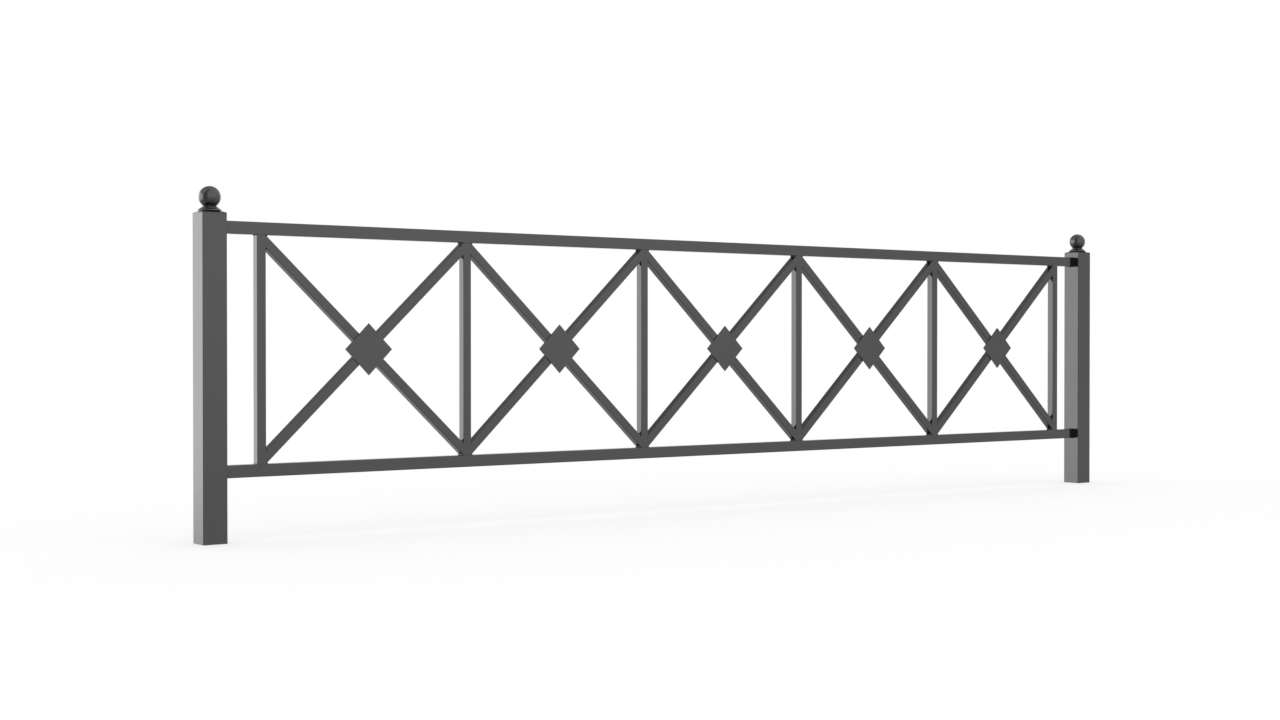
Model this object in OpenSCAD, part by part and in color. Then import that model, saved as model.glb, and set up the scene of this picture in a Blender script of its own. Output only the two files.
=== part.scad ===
// One section of a low welded steel border fence for a lawn.
// The origin is the middle of the left post's foot, at ground level.
// +X runs along the fence to the right post, +Z is up, and the plates face -Y.

/* [Posts] */
// Outside width of the square post tube
post_w = 40; // [30:1:60]
// Wall of the post tube
post_wall = 2; // [1.5:0.5:4]
// Outer corner radius of the post tube
post_r = 1.5; // [0.5:0.25:3]
// How far the post tube stands above the top rail
post_rise = 10; // [5:1:300]

/* [Panel] */
// Clear width between the two posts
clear_span = 2000; // [1500:10:3000]
// Number of crossed bays
bays = 5; // [3:1:6]
// Clear gap between each post and the upright next to it
end_gap = 55; // [20:1:120]
// Gap under the bottom rail
ground_gap = 100; // [40:5:200]
// Height of the panel over both rails
panel_h = 400; // [300:5:600]

/* [Rails] */
// Height of a rail's section
rail_h = 20; // [15:1:40]
// Wall of the rail tube
rail_wall = 1.5; // [1:0.25:3]
// Outer corner radius of the rail tube
rail_r = 1; // [0.5:0.25:2]

/* [Uprights and braces] */
// Side of the square bar tube
bar_w = 15; // [12:1:25]
// Wall of the bar tube
bar_wall = 1.5; // [1:0.25:3]
// Outer corner radius of the bar tube
bar_r = 1; // [0.5:0.25:2]

/* [Diamond plates] */
// Side of the square plate over each crossing
plate_w = 60; // [40:1:90]
// Thickness of the plate
plate_t = 2; // [1.5:0.5:5]

/* [Post caps] */
// Thickness of the cap's edge, which is what shows above the post tube
cap_edge = 1.5; // [1:0.25:4]
// Slope of the cap's four sides in degrees
cap_slope = 20; // [10:1:35]
// Width of the flat seat on top of the cap
cap_seat = 18; // [14:1:24]
// Thickness of the sheet under the seat
cap_sheet = 2; // [1:0.25:3]

/* [Finials] */
// Diameter of the ball
ball_d = 34; // [25:1:50]
// Wall of the pressed ball
ball_wall = 2; // [1:0.25:4]
// Diameter of the neck where the ball stands on its collar
neck_d = 20; // [16:0.5:24]
// Thickness of the round bead at the neck
neck_bead = 2; // [1:0.1:4]
// Outside diameter of the collar's lower ring
ring_d = 27.6; // [25:0.1:34]
// Thickness of the round bead of the lower ring
ring_bead = 3; // [1:0.1:4]
// Diameter of the collar's flared foot
collar_d = 36.5; // [28:0.5:40]
// Height of the collar above the cap's seat
collar_h = 6.5; // [5:0.1:12]
// How far the collar's foot reaches down over the cap's slopes
collar_drop = 1.2; // [0:0.1:1.6]
// Thickness of the collar's rim
collar_rim = 0.9; // [0.5:0.1:2]

/* [Hidden] */
finish = "#55575a";
$fn = 96;

// The rails are as deep as the bars, so the panel's faces are flush.
rail_d = bar_w;
post_h = ground_gap + panel_h + post_rise;
uprights = bays + 1;
post_pitch = clear_span + post_w;
bay_pitch = (clear_span - 2 * end_gap - bar_w) / bays;
bay_w = bay_pitch - bar_w;
bay_h = panel_h - 2 * rail_h;
first_upright_x = post_w / 2 + end_gap + bar_w / 2;
bottom_rail_z = ground_gap + rail_h / 2;
top_rail_z = ground_gap + panel_h - rail_h / 2;
bay_z = ground_gap + panel_h / 2;

// The outer edge of each brace runs into the inner corner between upright and rail.
brace_angle = acos(bar_w / norm([bay_w, bay_h])) - atan2(bay_w, bay_h);
// Length of tube before its ends are cut, and a size larger than any section
brace_blank = (bay_w + 2 * bar_w) / cos(brace_angle);
over = 2 * bar_w;

cap_rise = (post_w - cap_seat) / 2 * tan(cap_slope);
collar_z = post_h + cap_edge + cap_rise;
ball_flat = sqrt(pow(ball_d / 2, 2) - pow(neck_d / 2, 2));
ball_z = collar_z + collar_h + ball_flat;

function upright_x(i) = first_upright_x + (i - 1) * bay_pitch;
function bay_x(i) = upright_x(i) + bay_pitch / 2;

// A rectangle with round corners, or sharp ones where the radius is used up
module section(w, d, r) {
    if (r > 0) {
        square([w - 2 * r, d], center = true);
        square([w, d - 2 * r], center = true);
        for (x = [-1, 1], y = [-1, 1])
            translate([x * (w / 2 - r), y * (d / 2 - r)])
                circle(r = r);
    } else
        square([w, d], center = true);
}

// A square or oblong tube that stands on z = 0
module tube(w, d, length, wall, r) {
    linear_extrude(height = length)
        difference() {
            section(w, d, r);
            section(w - 2 * wall, d - 2 * wall, r - wall);
        }
}

module post(x) {
    color(finish)
        translate([x, 0, 0])
            tube(post_w, post_w, post_h, post_wall, post_r);
}

// A square block that has the same outline from the front and from the side
module four_sided(width) {
    intersection_for(turn = [0, 90])
        rotate([90, 0, turn])
            linear_extrude(height = width, center = true)
                children();
}

// The cap closes the post tube, so its edge is flush with the tube and its hollow
// starts from the tube's inner wall.
module post_cap(x) {
    edge = post_w / 2;
    seat = cap_seat / 2;
    top_z = cap_edge + cap_rise;
    bore = post_w / 2 - post_wall;
    roof_z = top_z - cap_sheet;
    roof = bore - roof_z / tan(cap_slope);
    color(finish)
        translate([x, 0, post_h])
            difference() {
                four_sided(post_w)
                    polygon([
                        [-edge, 0], [edge, 0], [edge, cap_edge],
                        [seat, top_z], [-seat, top_z], [-edge, cap_edge]
                    ]);
                four_sided(post_w)
                    polygon([[-bore, 0], [bore, 0], [roof, roof_z], [-roof, roof_z]]);
            }
}

// A turned collar of two round beads over a flared foot. It stands flat on the cap's
// seat, and outside the seat's corners its underside falls less than the cap does.
module finial_collar(x) {
    neck = neck_d / 2;
    ring = (ring_d - ring_bead) / 2;
    ring_top = collar_h - neck_bead;
    ring_z = ring_top - ring_bead / 2;
    foot = collar_d / 2;
    seat_corner = cap_seat / sqrt(2);
    color(finish)
        translate([x, 0, collar_z])
            rotate_extrude() {
                polygon([
                    [0, 0], [seat_corner, 0], [foot, -collar_drop],
                    [foot, collar_rim - collar_drop], [ring_d / 2, ring_z],
                    [ring, ring_top], [neck, ring_top], [neck, collar_h], [0, collar_h]
                ]);
                translate([neck, collar_h - neck_bead / 2])
                    circle(d = neck_bead);
                translate([ring, ring_z])
                    circle(d = ring_bead);
            }
}

// A pressed hollow ball, opened and flattened where it stands on its collar
module finial_ball(x) {
    color(finish)
        translate([x, 0, ball_z])
            rotate_extrude()
                intersection() {
                    difference() {
                        circle(d = ball_d);
                        circle(d = ball_d - 2 * ball_wall);
                    }
                    translate([0, -ball_flat])
                        square([ball_d, ball_flat + ball_d]);
                }
}

module rail(z) {
    color(finish)
        translate([post_w / 2, 0, z])
            rotate([0, 90, 0])
                tube(rail_h, rail_d, clear_span, rail_wall, rail_r);
}

module upright(i) {
    color(finish)
        translate([upright_x(i), 0, bottom_rail_z + rail_h / 2])
            tube(bar_w, bar_w, bay_h, bar_wall, bar_r);
}

// A brace through the middle of a bay, with both ends cut to the uprights' sides
module brace_bar(angle) {
    intersection() {
        rotate([0, 90 - angle, 0])
            translate([0, 0, -brace_blank / 2])
                tube(bar_w, bar_w, brace_blank, bar_wall, bar_r);
        translate([-bay_w / 2, -over, -bay_h])
            cube([bay_w, 2 * over, 2 * bay_h]);
    }
}

module brace_rising(i) {
    color(finish)
        translate([bay_x(i), 0, bay_z])
            brace_bar(brace_angle);
}

// Half of the falling brace, cut to the side of the rising one that it meets
module brace_half(i, turn) {
    color(finish)
        translate([bay_x(i), 0, bay_z])
            rotate([0, turn, 0])
                intersection() {
                    brace_bar(-brace_angle);
                    rotate([0, -brace_angle, 0])
                        translate([-bay_w, -over, bar_w / 2])
                            cube([2 * bay_w, 2 * over, bay_h]);
                }
}

module brace_upper_half(i) {
    brace_half(i, 0);
}

module brace_lower_half(i) {
    brace_half(i, 180);
}

// A square plate on its corner, welded on the front of the crossing
module diamond_plate(i) {
    color(finish)
        translate([bay_x(i), -bar_w / 2 - plate_t / 2, bay_z])
            rotate([0, 45, 0])
                cube([plate_w, plate_t, plate_w], center = true);
}

post(0);  // post_left
post(post_pitch);  // post_right
post_cap(0);  // post_cap_left
post_cap(post_pitch);  // post_cap_right
finial_collar(0);  // finial_collar_left
finial_collar(post_pitch);  // finial_collar_right
finial_ball(0);  // finial_ball_left
finial_ball(post_pitch);  // finial_ball_right
rail(bottom_rail_z);  // bottom_rail
rail(top_rail_z);  // top_rail
for (i = [1:uprights])
    upright(i);
for (i = [1:bays]) {
    brace_rising(i);
    brace_upper_half(i);
    brace_lower_half(i);
    diamond_plate(i);
}
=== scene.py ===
# One section of a low welded steel border fence, powder coated in a glossy dark grey.
# The sections below follow the fence as it is put together: posts, finials, rails,
# uprights, braces and diamond plates, and then the studio that it stands in.
import math

import bmesh
import bpy
from mathutils import Matrix, Vector


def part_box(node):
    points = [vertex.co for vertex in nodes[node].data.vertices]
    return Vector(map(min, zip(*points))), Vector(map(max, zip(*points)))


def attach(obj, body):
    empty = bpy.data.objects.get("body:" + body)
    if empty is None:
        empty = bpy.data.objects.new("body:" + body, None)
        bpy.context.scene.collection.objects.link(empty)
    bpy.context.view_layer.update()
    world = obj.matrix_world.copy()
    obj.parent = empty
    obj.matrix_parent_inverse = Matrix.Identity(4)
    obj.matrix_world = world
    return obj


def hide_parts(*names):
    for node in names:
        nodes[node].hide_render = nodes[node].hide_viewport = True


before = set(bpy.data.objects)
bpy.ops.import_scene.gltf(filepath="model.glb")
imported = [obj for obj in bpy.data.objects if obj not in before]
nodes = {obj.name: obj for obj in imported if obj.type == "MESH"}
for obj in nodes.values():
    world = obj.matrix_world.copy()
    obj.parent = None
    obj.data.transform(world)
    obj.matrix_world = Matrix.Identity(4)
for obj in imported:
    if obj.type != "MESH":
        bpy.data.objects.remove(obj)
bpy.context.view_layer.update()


# Camera. It stands 2.6 m in front of the fence and 1.1 m to the left of the left post,
# level with the middle of the panel, and looks to the right and very slightly down.
camera_place = Vector((-1.10235, -2.60359, 0.30947))
camera_turn = math.radians(36.5444)
camera_dip = math.radians(0.5321)
camera_lens = 50
camera_film = 36
camera_reach = 200
camera_data = bpy.data.cameras.new("camera")
camera_data.lens = camera_lens
camera_data.sensor_width = camera_film
camera_data.clip_end = camera_reach
camera = bpy.data.objects.new("camera", camera_data)
camera.location = camera_place
camera.rotation_euler = (math.pi / 2 - camera_dip, 0, -camera_turn)
bpy.context.scene.collection.objects.link(camera)
bpy.context.scene.camera = camera


# Posts and their caps. Square steel tube, closed by a pressed cap with four slopes, and
# powder coated after welding. The coat is a glossy graphite grey that mirrors its
# surroundings, with the faint orange peel that baked powder has.
MM = 0.001
coat_grey = (0.0892, 0.0892, 0.0894)
coat_grey_pale = (0.0978, 0.0978, 0.098)
coat_metallic = 0.95
coat_roughness = (0.11, 0.17)
gloss_patch = 70 * MM
patch_detail = 3
patch_range = (0.3, 0.7)
peel_size = 1.3 * MM
peel_depth = 0.012 * MM
peel_detail = 1


def powder_coat(name):
    """A baked graphite powder coat: patches of slightly different gloss, and orange peel."""
    material = bpy.data.materials.new(name)
    material.use_nodes = True
    tree = material.node_tree
    shader = tree.nodes["Principled BSDF"]
    shader.inputs["Metallic"].default_value = coat_metallic
    place = tree.nodes.new("ShaderNodeTexCoord")

    patches = tree.nodes.new("ShaderNodeTexNoise")
    patches.inputs["Scale"].default_value = 1 / gloss_patch
    patches.inputs["Detail"].default_value = patch_detail
    tree.links.new(place.outputs["Object"], patches.inputs["Vector"])
    gloss = tree.nodes.new("ShaderNodeMapRange")
    gloss.inputs["From Min"].default_value = patch_range[0]
    gloss.inputs["From Max"].default_value = patch_range[1]
    gloss.inputs["To Min"].default_value = coat_roughness[0]
    gloss.inputs["To Max"].default_value = coat_roughness[1]
    tree.links.new(patches.outputs["Fac"], gloss.inputs["Value"])
    tree.links.new(gloss.outputs["Result"], shader.inputs["Roughness"])
    grey = tree.nodes.new("ShaderNodeMix")
    grey.data_type = "RGBA"
    grey.inputs["A"].default_value = (*coat_grey, 1)
    grey.inputs["B"].default_value = (*coat_grey_pale, 1)
    tree.links.new(patches.outputs["Fac"], grey.inputs["Factor"])
    tree.links.new(grey.outputs["Result"], shader.inputs["Base Color"])

    peel = tree.nodes.new("ShaderNodeTexNoise")
    peel.inputs["Scale"].default_value = 1 / peel_size
    peel.inputs["Detail"].default_value = peel_detail
    tree.links.new(place.outputs["Object"], peel.inputs["Vector"])
    bump = tree.nodes.new("ShaderNodeBump")
    bump.inputs["Strength"].default_value = 1
    bump.inputs["Distance"].default_value = peel_depth
    tree.links.new(peel.outputs["Fac"], bump.inputs["Height"])
    tree.links.new(bump.outputs["Normal"], shader.inputs["Normal"])
    return material


def finish_node(name, material):
    """Puts a finish on a piece that comes from the frame as it is."""
    mesh = nodes[name].data
    mesh.materials.clear()
    mesh.materials.append(material)


post_coat = powder_coat("post_coat")
for side in ("left", "right"):
    finish_node(f"post_{side}", post_coat)


# Post caps. Pressed from 2 mm sheet with four slopes up to a small flat seat, the same
# outline as the post tube, welded on its end and ground flush. The press leaves its
# edges slightly round, which shows as a hairline between cap and post.
cap_edge = 1.5 * MM
cap_seat = 18 * MM
cap_sheet = 2 * MM
cap_corner = 1.5 * MM
cap_corner_steps = 8
cap_slope = math.radians(20)
cap_arris = 0.3 * MM
edge_steps = 3
sharp_bend = math.radians(16)
level_enough = 0.99
slack = 0.01 * MM


def place_piece(name, form, material, slot, *replaced):
    """Hands a finished shape over as a piece of the fence."""
    bmesh.ops.recalc_face_normals(form, faces=form.faces)
    mesh = bpy.data.meshes.new(name)
    form.to_mesh(mesh)
    form.free()
    mesh.materials.append(material)
    mesh.shade_smooth()
    mesh.set_sharp_from_angle(angle=sharp_bend)
    piece = bpy.data.objects.new(name, mesh)
    bpy.context.scene.collection.objects.link(piece)
    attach(piece, "root")
    if replaced:
        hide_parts(*replaced)


def pull_face(form, up, width, rise):
    """Draws the top face (up = 1) or the bottom face (up = -1) out to a new width and height."""
    form.normal_update()
    face = next(face for face in form.faces if face.normal.z * up > level_enough)
    old_width = 2 * max(vert.co.x for vert in face.verts)
    drawn = bmesh.ops.extrude_face_region(form, geom=[face])["geom"]
    drawn = [part for part in drawn if isinstance(part, bmesh.types.BMVert)]
    bmesh.ops.delete(form, geom=[face], context="FACES_ONLY")
    bmesh.ops.scale(form, verts=drawn, vec=(width / old_width, width / old_width, 1))
    bmesh.ops.translate(form, verts=drawn, vec=(0, 0, rise))


def is_level(edge):
    return abs(edge.verts[0].co.z - edge.verts[1].co.z) < slack


for side in ("left", "right"):
    low, high = (Vector(corner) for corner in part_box(f"post_cap_{side}"))
    cap_width = high.x - low.x
    bore = cap_width - 2 * cap_sheet
    roof = high.z - low.z - cap_sheet
    form = bmesh.new()
    bmesh.ops.create_cube(form, size=1)
    bmesh.ops.translate(form, verts=form.verts, vec=(0, 0, 0.5))
    bmesh.ops.scale(form, verts=form.verts, vec=(cap_width, cap_width, cap_edge))
    corners = [edge for edge in form.edges if not is_level(edge)]
    bmesh.ops.bevel(
        form, geom=corners, affect="EDGES", offset=cap_corner, segments=cap_corner_steps,
        profile=0.5, material=-1
    )
    pull_face(form, 1, cap_seat, high.z - low.z - cap_edge)
    arrises = [
        edge for edge in form.edges
        if is_level(edge) and edge.verts[0].co.z < high.z - low.z - slack
    ]
    bmesh.ops.bevel(
        form, geom=arrises, affect="EDGES", offset=cap_arris, segments=edge_steps,
        profile=0.5, material=-1
    )
    pull_face(form, -1, bore, 0)
    pull_face(form, -1, bore - 2 * roof / math.tan(cap_slope), roof)
    bmesh.ops.translate(form, verts=form.verts, vec=((low.x + high.x) / 2, 0, low.z))
    place_piece(f"pressed_cap_{side}", form, post_coat, "post_coat", f"post_cap_{side}")


# Finial collars. Turned from solid bar: a flared foot that reaches a little down over the
# slopes of the cap, a round ring above it and a round bead at the neck. Each is welded
# to the seat of its cap, which is hidden under the foot.
collar_drop = 1.2 * MM
collar_rim = 0.9 * MM
rim_edge = 0.2 * MM
flank_dome = 0.4 * MM
ring_width = 27.6 * MM
ring_bead = 3 * MM
neck_width = 20 * MM
neck_bead = 2 * MM
arc_steps = 16
round_steps = 96
join_gap = 0.001 * MM
finial_coat = powder_coat("finial_coat")


def draw_arc(form, start, middle, sweep):
    """Draws a turned piece's outline on in an arc, outwards and up. Gives its new end."""
    drawn = bmesh.ops.spin(
        form, geom=[start], axis=(0, -1, 0), cent=middle, angle=sweep, steps=arc_steps
    )
    return drawn["geom_last"][0]


def turn_full(form):
    """Turns an outline once round the upright axis, and closes it there."""
    bmesh.ops.spin(
        form, geom=form.verts[:] + form.edges[:], axis=(0, 0, 1), cent=(0, 0, 0),
        angle=2 * math.pi, steps=round_steps, use_merge=True
    )
    bmesh.ops.remove_doubles(form, verts=form.verts, dist=join_gap)


for side in ("left", "right"):
    low, high = (Vector(corner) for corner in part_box(f"finial_collar_{side}"))
    foot = (high.x - low.x) / 2
    seat = low.z + collar_drop
    shelf = high.z - neck_bead
    neck = Vector((neck_width / 2, 0, high.z - neck_bead / 2))
    ring = Vector(((ring_width - ring_bead) / 2, 0, shelf - ring_bead / 2))
    form = bmesh.new()
    under, seat_edge, foot_low, foot_high, neck_low, neck_middle = (
        form.verts.new((x, 0, z)) for x, z in (
            (0, seat), (cap_seat / math.sqrt(2), seat), (foot, low.z),
            (foot, low.z + collar_rim), (neck.x, shelf), (0, high.z)
        )
    )
    flank = Vector((ring_width / 2, 0, ring.z)) - foot_high.co
    flank_radius = (flank.length ** 2 / 4 + flank_dome ** 2) / (2 * flank_dome)
    inwards = Vector((-flank.z, 0, flank.x)).normalized()
    flank_middle = foot_high.co + flank / 2 + inwards * (flank_radius - flank_dome)
    flank_sweep = 2 * math.asin(flank.length / 2 / flank_radius)
    flank_top = draw_arc(form, foot_high, flank_middle, flank_sweep)
    ring_top = draw_arc(form, flank_top, ring, math.pi / 2)
    neck_top = draw_arc(form, neck_low, neck, math.pi)
    straight = (
        (under, seat_edge), (seat_edge, foot_low), (foot_low, foot_high),
        (ring_top, neck_low), (neck_top, neck_middle)
    )
    for pair in straight:
        form.edges.new(pair)
    turn_full(form)
    rims = [
        edge for edge in form.edges
        if is_level(edge) and min(vert.co.xy.length for vert in edge.verts) > foot - slack
    ]
    bmesh.ops.bevel(
        form, geom=rims, affect="EDGES", offset=rim_edge, segments=edge_steps,
        profile=0.5, material=-1
    )
    bmesh.ops.translate(form, verts=form.verts, vec=((low.x + high.x) / 2, 0, 0))
    place_piece(f"turned_collar_{side}", form, finial_coat, "finial_coat", f"finial_collar_{side}")


# Finial balls. Hollow pressed steel balls, cut flat where they stand on the collar's
# neck bead and welded to it.
ball_rings = 64
for side in ("left", "right"):
    low, high = (Vector(corner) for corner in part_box(f"finial_ball_{side}"))
    radius = (high.x - low.x) / 2
    middle = Vector(((low.x + high.x) / 2, 0, high.z - radius))
    form = bmesh.new()
    bmesh.ops.create_uvsphere(form, u_segments=round_steps, v_segments=ball_rings, radius=radius)
    bmesh.ops.translate(form, verts=form.verts, vec=middle)
    everything = form.verts[:] + form.edges[:] + form.faces[:]
    bmesh.ops.bisect_plane(
        form, geom=everything, plane_co=low, plane_no=(0, 0, -1), dist=join_gap, clear_outer=True
    )
    bmesh.ops.holes_fill(form, edges=[edge for edge in form.edges if edge.is_boundary])
    place_piece(f"ball_{side}", form, finial_coat, "finial_coat", f"finial_ball_{side}")


# Rails. Two lengths of 20 x 15 mm tube between the posts, welded at each end above,
# below and behind with a small even bead, and left clean in front.
ripple_pitch = 1.6 * MM
ripple_depth = 0.05
ripple_rings = 4
fewest_rings = 3
bead_sides = 8
bead_end = 0.35
rail_bead = 0.9 * MM
panel_coat = powder_coat("panel_coat")


def weld(form, start, end, radius):
    """A straight bead of weld, rippled along its run and rounded at both ends."""
    run = Vector(end) - Vector(start)
    length = run.length
    first, first_edge = len(form.verts), len(form.edges)
    bmesh.ops.create_cone(
        form, cap_ends=True, segments=bead_sides, radius1=radius, radius2=radius, depth=length
    )
    form.edges.ensure_lookup_table()
    long_edges = [
        edge for edge in form.edges[first_edge:]
        if abs(edge.verts[0].co.z - edge.verts[1].co.z) > length / 2
    ]
    cuts = max(fewest_rings, round(length / ripple_pitch * ripple_rings) - 1)
    bmesh.ops.subdivide_edges(form, edges=long_edges, cuts=cuts, use_grid_fill=True)
    form.verts.ensure_lookup_table()
    bead = form.verts[first:]
    for vert in bead:
        from_end = max(0, 1 - (length / 2 - abs(vert.co.z)) / radius)
        rounding = math.sqrt(max(0, 1 - from_end ** 2))
        ripple = 1 + ripple_depth * math.cos(2 * math.pi * vert.co.z / ripple_pitch)
        size = max(bead_end, rounding) * ripple
        vert.co.x *= size
        vert.co.y *= size
    turn = run.to_track_quat("Z", "Y").to_matrix().to_4x4()
    place = Matrix.Translation((Vector(start) + Vector(end)) / 2) @ turn
    bmesh.ops.transform(form, verts=bead, matrix=place)


form = bmesh.new()
for rail in ("bottom_rail", "top_rail"):
    finish_node(rail, panel_coat)
    low, high = (Vector(corner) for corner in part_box(rail))
    for x in (low.x, high.x):
        weld(form, (x, high.y, low.z), (x, high.y, high.z), rail_bead)
        for z in (low.z, high.z):
            weld(form, (x, low.y, z), (x, high.y, z), rail_bead)
place_piece("rail_welds", form, panel_coat, "panel_coat")


# Uprights. 15 mm square tube cut square and set between the rails, flush in front and
# behind. The flush joints are filled and dressed, and the free corners keep a bead.
seam_bead = 1.0 * MM
seam_proud = 0.16 * MM
corner_bead = 1.1 * MM
uprights = [name for name in nodes if name.startswith("upright_")]
uprights.sort(key=lambda name: int(name.split("_")[1]))
form = bmesh.new()
for name in uprights:
    finish_node(name, panel_coat)
    low, high = (Vector(corner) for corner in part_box(name))
    for z in (low.z, high.z):
        for y, inward in ((low.y, 1), (high.y, -1)):
            depth = y + inward * (seam_bead - seam_proud)
            weld(form, (low.x, depth, z), (high.x, depth, z), seam_bead)
        free = {uprights[0]: low.x, uprights[-1]: high.x}
        if name in free:
            weld(form, (free[name], low.y, z), (free[name], high.y, z), corner_bead)
place_piece("upright_welds", form, panel_coat, "panel_coat")


# Braces. The rising brace of each bay is one length of 15 mm tube, and the falling one is
# two halves that are coped to its sides. Every end is cut to the upright and welded
# in front, behind and in the two sharp corners beside it.
wedge_reach = 2.3 * MM
wedge_bead = 1.0 * MM
crossing_bead = 1.3 * MM
top_rail_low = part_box("top_rail")[0][2]
bottom_rail_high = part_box("bottom_rail")[1][2]
bays = []
form = bmesh.new()
for index in range(1, len(uprights)):
    for part in ("rising", "upper_half", "lower_half"):
        finish_node(f"brace_{part}_{index}", panel_coat)
    bay_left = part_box(f"upright_{index}")[1][0]
    bay_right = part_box(f"upright_{index + 1}")[0][0]
    front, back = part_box(f"upright_{index}")[0][1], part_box(f"upright_{index}")[1][1]
    bar = back - front
    middle = Vector(((bay_left + bay_right) / 2, 0, (top_rail_low + bottom_rail_high) / 2))
    half_w = (bay_right - bay_left) / 2
    half_h = (top_rail_low - bottom_rail_high) / 2
    slope = math.acos(bar / 2 / math.hypot(half_w, half_h)) - math.atan2(half_w, half_h)
    bays.append((middle, slope, front, back, bar))
    end_height = bar / math.cos(slope)
    for across in (-1, 1):
        for up in (-1, 1):
            corner = middle + Vector((across * half_w, 0, up * half_h))
            seam_end = corner - Vector((0, 0, up * end_height))
            for y, inward in ((front, 1), (back, -1)):
                depth = Vector((0, y + inward * (seam_bead - seam_proud), 0))
                weld(form, corner + depth, seam_end + depth, seam_bead)
            rail_wedge = slope / 2
            beside_rail = corner - wedge_reach * Vector(
                (across * math.cos(rail_wedge), 0, up * math.sin(rail_wedge))
            )
            upright_wedge = (math.pi / 2 - slope) / 2
            beside_upright = seam_end - wedge_reach * Vector(
                (across * math.sin(upright_wedge), 0, up * math.cos(upright_wedge))
            )
            for spot in (beside_rail, beside_upright):
                weld(form, spot + Vector((0, front, 0)), spot + Vector((0, back, 0)), wedge_bead)
    along = Vector((math.cos(slope), 0, math.sin(slope)))
    side = Vector((-math.sin(slope), 0, math.cos(slope)))
    for half in (-1, 1):
        corners = []
        for edge in (-1, 1):
            shift = (edge * bar / 2 - half * bar / 2 * math.cos(2 * slope)) / math.sin(2 * slope)
            corners.append(middle + shift * along + half * bar / 2 * side)
        for spot in corners:
            weld(form, spot + Vector((0, front, 0)), spot + Vector((0, back, 0)), crossing_bead)
        depth = Vector((0, back - (seam_bead - seam_proud), 0))
        weld(form, corners[0] + depth, corners[1] + depth, seam_bead)
place_piece("brace_welds", form, panel_coat, "panel_coat")


# Diamond plates. Cut from 2 mm sheet, set on a corner over each crossing, and tacked to
# the sides of the braces from behind, where the tacks don't show.
tack_from = 17 * MM
tack_to = 28 * MM
tack_bead = 1.2 * MM
form = bmesh.new()
for index, (middle, slope, front, back, bar) in enumerate(bays, start=1):
    finish_node(f"diamond_plate_{index}", panel_coat)
    for turn in (slope, -slope):
        along = Vector((math.cos(turn), 0, math.sin(turn)))
        side = Vector((-math.sin(turn), 0, math.cos(turn)))
        for arm in (-1, 1):
            for edge in (-1, 1):
                line = middle + Vector((0, front, 0)) + edge * bar / 2 * side
                weld(form, line + arm * tack_from * along, line + arm * tack_to * along, tack_bead)
place_piece("plate_tacks", form, panel_coat, "panel_coat")


# Floor. A white sheet of studio paper that runs out of sight. The camera sees most of it
# as plain white, and the rest of its tone is the soft shade that the fence casts.
floor_colour = (1, 1, 1)
floor_reach = 40
floor_sides = 96
floor_drop = 0.2 * MM
floor_shade = 0.42

mesh = bpy.data.meshes.new("floor")
form = bmesh.new()
bmesh.ops.create_circle(form, cap_ends=True, segments=floor_sides, radius=floor_reach)
bmesh.ops.translate(form, verts=form.verts, vec=(0, 0, -floor_drop))
form.to_mesh(mesh)
form.free()
floor = bpy.data.objects.new("floor", mesh)
bpy.context.scene.collection.objects.link(floor)
floor.visible_glossy = False


def either(tree, first, second):
    """1 where one of two kinds of ray is met."""
    highest = tree.nodes.new("ShaderNodeMath")
    highest.operation = "MAXIMUM"
    tree.links.new(first, highest.inputs[0])
    tree.links.new(second, highest.inputs[1])
    return highest.outputs["Value"]


def seen_or_mirrored(tree):
    """1 for what the camera sees, straight, in a gloss or through glass."""
    ray = tree.nodes.new("ShaderNodeLightPath").outputs
    straight_or_gloss = either(tree, ray["Is Camera Ray"], ray["Is Glossy Ray"])
    return either(tree, straight_or_gloss, ray["Is Transmission Ray"])


paper = bpy.data.materials.new("floor_paper")
paper.use_nodes = True
tree = paper.node_tree
tree.nodes.clear()
matt = tree.nodes.new("ShaderNodeBsdfDiffuse")
matt.inputs["Color"].default_value = (*floor_colour, 1)
white = tree.nodes.new("ShaderNodeEmission")
share = tree.nodes.new("ShaderNodeMath")
share.operation = "MULTIPLY"
share.inputs[1].default_value = 1 - floor_shade
tree.links.new(seen_or_mirrored(tree), share.inputs[0])
blend = tree.nodes.new("ShaderNodeMixShader")
tree.links.new(share.outputs["Value"], blend.inputs["Fac"])
tree.links.new(matt.outputs["BSDF"], blend.inputs[1])
tree.links.new(white.outputs["Emission"], blend.inputs[2])
out = tree.nodes.new("ShaderNodeOutputMaterial")
tree.links.new(blend.outputs["Shader"], out.inputs["Surface"])
mesh.materials.append(paper)


# Studio room. Even white light from all sides, dimmer towards the ground, as the glossy
# coat mirrors it. Cloths hang in front of it, and on the left behind the fence stands a
# bright panel that the left sides of posts, uprights and balls mirror.
fill_light = 1
light_by_height = (
    (-1, 0.14), (-0.77, 0.33), (-0.48, 0.6), (-0.108, 0.82), (0, 1), (0.07, 1.08), (1, 1.05)
)
curve_top = 4
grey_cloths = (
    {"towards": (0.2, 0.8, 0.6), "edge": (0.72, 0.95), "level": 0.5},
    {"towards": (0, 0.87, 0.47), "edge": (0.94, 0.985), "level": 0.36},
    {"towards": (0.1, 0.85, -0.55), "edge": (0.78, 0.95), "level": 0.72},
    {"towards": (0.87, -0.5, 0), "edge": (0.9, 0.99), "level": 0.86},
)
flag_right = {"towards": (-0.62, 0.79, 0), "edge": (-0.3, 0.12)}
flag_left = {"towards": (-0.03, -1, 0), "edge": (-0.12, 0.12)}
flag_level = 0.35
panel_right = {"towards": (-1, -0.03, 0), "edge": (0, 0.12)}
panel_left = {"towards": (0.07, 1, 0), "edge": (0, 0.13)}
panel_foot = (-0.18, -0.05)
panel_top = (0.44, 0.32)
panel_level = 2.52
lower_right = {"towards": (-0.88, -0.47, 0), "edge": (0, 0.17)}
lower_foot = (-0.38, -0.28)
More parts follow.
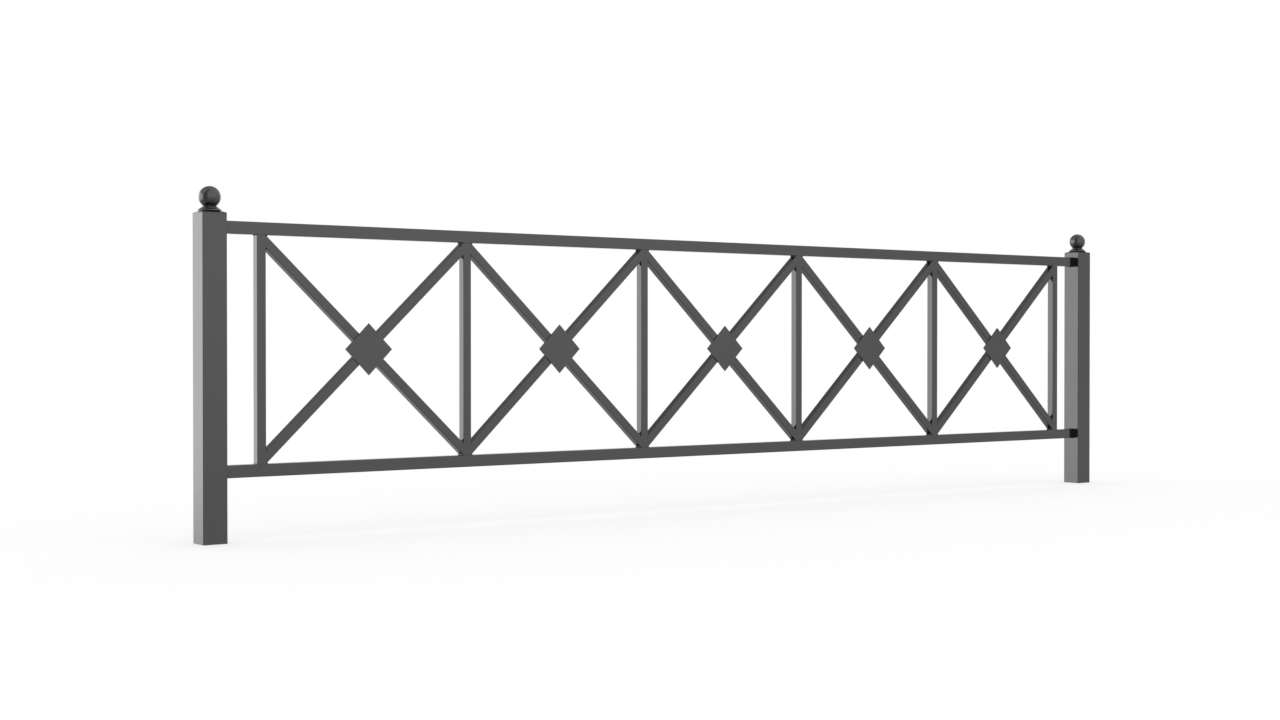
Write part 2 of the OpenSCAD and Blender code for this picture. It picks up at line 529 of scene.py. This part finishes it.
lower_top = (-0.1, -0.16)
lower_level = 2.3
panel_core = {"towards": (-0.56, 0.83, 0.1), "edge": (0.955, 1), "level": 2.62}

world = bpy.data.worlds.new("studio")
world.use_nodes = True
tree = world.node_tree
tree.nodes.clear()
place = tree.nodes.new("ShaderNodeTexCoord")
parts = tree.nodes.new("ShaderNodeSeparateXYZ")
tree.links.new(place.outputs["Generated"], parts.inputs["Vector"])


def window(value, edge):
    """Rises softly from 0 to 1 as the value goes over an edge, given as its start and end."""
    rise = tree.nodes.new("ShaderNodeMapRange")
    rise.interpolation_type = "SMOOTHSTEP"
    rise.inputs["From Min"].default_value = edge[0]
    rise.inputs["From Max"].default_value = edge[1]
    tree.links.new(value, rise.inputs["Value"])
    return rise.outputs["Result"]


def facing(cloth):
    """A soft mask of the rays that run towards a direction, by the cosine between them."""
    dot = tree.nodes.new("ShaderNodeVectorMath")
    dot.operation = "DOT_PRODUCT"
    dot.inputs[1].default_value = Vector(cloth["towards"]).normalized()
    tree.links.new(place.outputs["Generated"], dot.inputs[0])
    return window(dot.outputs["Value"], cloth["edge"])


def overlap(*masks):
    """The share that all masks have in common."""
    shared = masks[0]
    for mask in masks[1:]:
        times = tree.nodes.new("ShaderNodeMath")
        times.operation = "MULTIPLY"
        tree.links.new(shared, times.inputs[0])
        tree.links.new(mask, times.inputs[1])
        shared = times.outputs["Value"]
    return shared


def hang(light, mask, level):
    """Hangs a cloth or panel of an even level in front of the light, where its mask is 1."""
    cloth = tree.nodes.new("ShaderNodeMix")
    cloth.inputs["B"].default_value = level
    tree.links.new(mask, cloth.inputs["Factor"])
    tree.links.new(light, cloth.inputs["A"])
    return cloth.outputs["Result"]


height = parts.outputs["Z"]
share = tree.nodes.new("ShaderNodeMapRange")
share.inputs["From Min"].default_value = -1
tree.links.new(height, share.inputs["Value"])
room = tree.nodes.new("ShaderNodeFloatCurve")
room.mapping.use_clip = False
curve = room.mapping.curves[0]
for z, level in light_by_height[1:-1]:
    curve.points.new((z + 1) / 2, level / curve_top)
curve.points[0].location = (0, light_by_height[0][1] / curve_top)
curve.points[-1].location = (1, light_by_height[-1][1] / curve_top)
for point in curve.points:
    point.handle_type = "VECTOR"
room.mapping.update()
tree.links.new(share.outputs["Result"], room.inputs["Value"])
scaled = tree.nodes.new("ShaderNodeMath")
scaled.operation = "MULTIPLY"
scaled.inputs[1].default_value = curve_top
tree.links.new(room.outputs["Value"], scaled.inputs[0])

light = scaled.outputs["Value"]
for cloth in grey_cloths:
    light = hang(light, facing(cloth), cloth["level"])
light = hang(light, overlap(facing(flag_right), facing(flag_left)), flag_level)
lower = overlap(
    facing(lower_right), facing(panel_left),
    window(height, lower_foot), window(height, lower_top)
)
light = hang(light, lower, lower_level)
panel = overlap(
    facing(panel_right), facing(panel_left),
    window(height, panel_foot), window(height, panel_top)
)
light = hang(light, panel, panel_level)
light = hang(light, facing(panel_core), panel_core["level"])

backdrop = tree.nodes.new("ShaderNodeBackground")
backdrop.inputs["Color"].default_value = (1, 1, 1, 1)
ray = tree.nodes.new("ShaderNodeLightPath").outputs
shown = tree.nodes.new("ShaderNodeMix")
shown.inputs["A"].default_value = 1
tree.links.new(ray["Is Glossy Ray"], shown.inputs["Factor"])
tree.links.new(light, shown.inputs["B"])
tree.links.new(shown.outputs["Result"], backdrop.inputs["Strength"])
fill = tree.nodes.new("ShaderNodeBackground")
fill.inputs["Color"].default_value = (1, 1, 1, 1)
fill.inputs["Strength"].default_value = fill_light
blend = tree.nodes.new("ShaderNodeMixShader")
tree.links.new(seen_or_mirrored(tree), blend.inputs["Fac"])
tree.links.new(fill.outputs["Background"], blend.inputs[1])
tree.links.new(backdrop.outputs["Background"], blend.inputs[2])
out = tree.nodes.new("ShaderNodeOutputWorld")
tree.links.new(blend.outputs["Shader"], out.inputs["Surface"])
bpy.context.scene.world = world
bpy.context.scene.view_settings.view_transform = "Standard"
